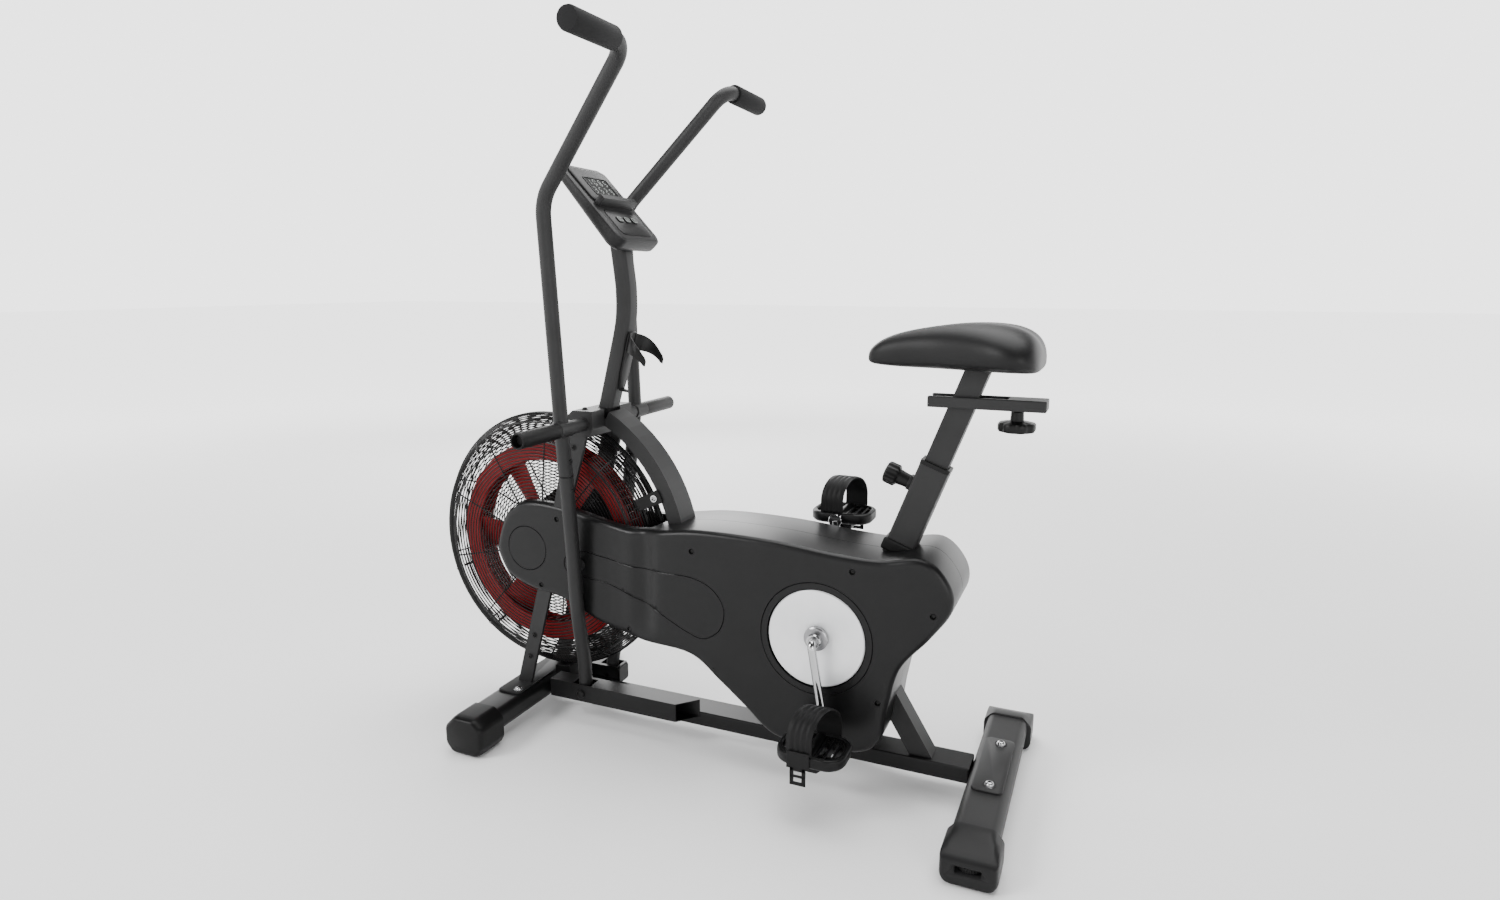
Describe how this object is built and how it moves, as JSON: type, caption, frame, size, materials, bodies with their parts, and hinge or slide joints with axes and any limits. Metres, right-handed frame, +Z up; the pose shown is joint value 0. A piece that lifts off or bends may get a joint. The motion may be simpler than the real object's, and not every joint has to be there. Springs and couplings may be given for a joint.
{
  "type": "air bike",
  "caption": "Fan-resistance exercise bike: caged red fan in front, long black side covers, swinging arms with foot pegs, crank with strapped pedals, adjustable saddle",
  "frame": {"origin": "on the floor under the middle of the bounding box", "axes": "+Z up; -X towards the fan at the front, +X towards the saddle at the rear; -Y is the rider's left side"},
  "size_m": [1.272, 0.7206, 1.3193],
  "materials": {
    "frame_paint": "satin charcoal powder coat",
    "cover_plastic": "fine-textured satin black moulding",
    "trim_plastic": "black moulding",
    "black_rubber": "flexible black rubber",
    "grip_foam": "dense dark foam sleeve",
    "fan_red": "dark red coated sheet",
    "guard_wire": "black coated wire grille",
    "chrome": "bright chrome plate",
    "disc_silver": "satin silver dished plate",
    "bright_steel": "plain turned steel",
    "saddle_vinyl": "smooth dark vinyl over padding",
    "display_window": "clear display window",
    "button_grey": "grey keys"
  },
  "bodies": {
    "frame": {"base_rail": "frame_paint", "side_box": "frame_paint", "pivot_bracket_right": "frame_paint", "front_stabiliser": "frame_paint", "rear_stabiliser": "frame_paint", "front_cap_left": "trim_plastic", "front_cap_right": "trim_plastic", "rear_cap_left": "trim_plastic", "rear_cap_right": "trim_plastic", "fork_left": "frame_paint", "fork_right": "frame_paint", "fan_axle": "bright_steel", "arch_frame": "frame_paint", "top_bracket": "frame_paint", "mast": "frame_paint", "bottle_cage": "trim_plastic", "console": "trim_plastic", "console_window": "display_window", "guard_left": "guard_wire", "guard_right": "guard_wire", "pivot_bolt_left": "chrome", "pivot_bolt_right": "chrome", "drive_belt": "black_rubber", "seat_tube": "frame_paint", "seat_tube_collar": "trim_plastic", "rear_brace": "frame_paint", "crank_bearing_shell": "frame_paint", "cover_left": "cover_plastic", "cover_right": "cover_plastic"},
    "fan": {"fan_wheel": "fan_red"},
    "crank": {"crank_axle": "bright_steel", "drive_pulley": "trim_plastic", "crank_disc_left": "disc_silver", "crank_disc_right": "disc_silver", "crank_arm_left": "chrome", "crank_arm_right": "chrome"},
    "pedal_left": {"pedal_left": "trim_plastic", "toe_strap_left": "black_rubber"},
    "pedal_right": {"pedal_right": "trim_plastic", "toe_strap_right": "black_rubber"},
    "link_left": {"link_rod_left": "bright_steel"},
    "link_right": {"link_rod_right": "bright_steel"},
    "arm_left": {"lever_left": "frame_paint", "handlebar_left": "frame_paint", "grip_left": "grip_foam", "foot_peg_left": "grip_foam"},
    "arm_right": {"lever_right": "frame_paint", "handlebar_right": "frame_paint", "grip_right": "grip_foam", "foot_peg_right": "grip_foam"},
    "seat_post": {"seat_post": "frame_paint"},
    "saddle": {"saddle_slide": "frame_paint", "saddle": "saddle_vinyl"},
    "slide_knob": {"slide_knob": "trim_plastic"},
    "pin_knob": {"pin_knob": "trim_plastic"},
    "button_1": {"button_1": "button_grey"},
    "button_2": {"button_2": "button_grey"},
    "button_3": {"button_3": "button_grey"},
    "leveller_left": {"leveller_left": "trim_plastic"},
    "leveller_right": {"leveller_right": "trim_plastic"}
  },
  "joints": [
    {"name": "crank_spin", "type": "hinge", "parent": "frame", "child": "crank", "pos_m": [0.27, 0, 0.289], "axis": [0, 1, 0], "continuous": true},
    {"name": "fan_spin", "type": "hinge", "parent": "frame", "child": "fan", "pos_m": [-0.357, 0, 0.377], "axis": [0, 1, 0], "continuous": true},
    {"name": "pedal_left_spin", "type": "hinge", "parent": "crank", "child": "pedal_left", "pos_m": [0.29952, -0.172, 0.12158], "axis": [0, 1, 0], "continuous": true},
    {"name": "link_left_turn", "type": "hinge", "parent": "crank", "child": "link_left", "pos_m": [0.24046, -0.0685, 0.28379], "axis": [0, 1, 0], "continuous": true},
    {"name": "arm_left_swing", "type": "hinge", "parent": "frame", "child": "arm_left", "pos_m": [-0.254, -0.05, 0.0705], "axis": [0, 1, 0], "range_deg": [-9, 9]},
    {"name": "pedal_right_spin", "type": "hinge", "parent": "crank", "child": "pedal_right", "pos_m": [0.24048, 0.172, 0.45642], "axis": [0, 1, 0], "continuous": true},
    {"name": "link_right_turn", "type": "hinge", "parent": "crank", "child": "link_right", "pos_m": [0.29954, 0.0685, 0.29421], "axis": [0, 1, 0], "continuous": true},
    {"name": "arm_right_swing", "type": "hinge", "parent": "frame", "child": "arm_right", "pos_m": [-0.254, 0.05, 0.0705], "axis": [0, 1, 0], "range_deg": [-9, 9]},
    {"name": "seat_height", "type": "slide", "parent": "frame", "child": "seat_post", "axis": [0.3535, 0, 0.9354], "range_m": [-0.08, 0.1]},
    {"name": "saddle_reach", "type": "slide", "parent": "seat_post", "child": "saddle", "axis": [1, 0, 0], "range_m": [-0.04, 0.025]},
    {"name": "slide_knob_turn", "type": "hinge", "parent": "seat_post", "child": "slide_knob", "pos_m": [0.5885, 0, 0.7], "axis": [0, 0, 1], "range_deg": [-180, 180]},
    {"name": "pin_knob_pull", "type": "slide", "parent": "frame", "child": "pin_knob", "axis": [-0.9354, 0, 0.3535], "range_m": [0, 0.01], "stiffness_N_per_m": 800, "springref_m": -0.003},
    {"name": "button_1_press", "type": "slide", "parent": "frame", "child": "button_1", "axis": [-0.7266, 0, -0.6871], "range_m": [0, 0.001], "stiffness_N_per_m": 400, "springref_m": -0.0005},
    {"name": "button_2_press", "type": "slide", "parent": "frame", "child": "button_2", "axis": [-0.7266, 0, -0.6871], "range_m": [0, 0.001], "stiffness_N_per_m": 400, "springref_m": -0.0005},
    {"name": "button_3_press", "type": "slide", "parent": "frame", "child": "button_3", "axis": [-0.7266, 0, -0.6871], "range_m": [0, 0.001], "stiffness_N_per_m": 400, "springref_m": -0.0005},
    {"name": "leveller_left_turn", "type": "hinge", "parent": "frame", "child": "leveller_left", "pos_m": [0.583, -0.2435, 0.03], "axis": [0, 0, 1], "range_deg": [-180, 180]},
    {"name": "leveller_right_turn", "type": "hinge", "parent": "frame", "child": "leveller_right", "pos_m": [0.583, 0.2435, 0.03], "axis": [0, 0, 1], "range_deg": [-180, 180]}
  ],
  "couplings": [
    {"joint": "fan_spin", "follows": "crank_spin", "ratio": 3.5},
    {"joint": "link_left_turn", "follows": "crank_spin", "ratio": -1},
    {"joint": "link_right_turn", "follows": "crank_spin", "ratio": -1},
    {"joint": "arm_right_swing", "follows": "arm_left_swing", "ratio": -1}
  ]
}
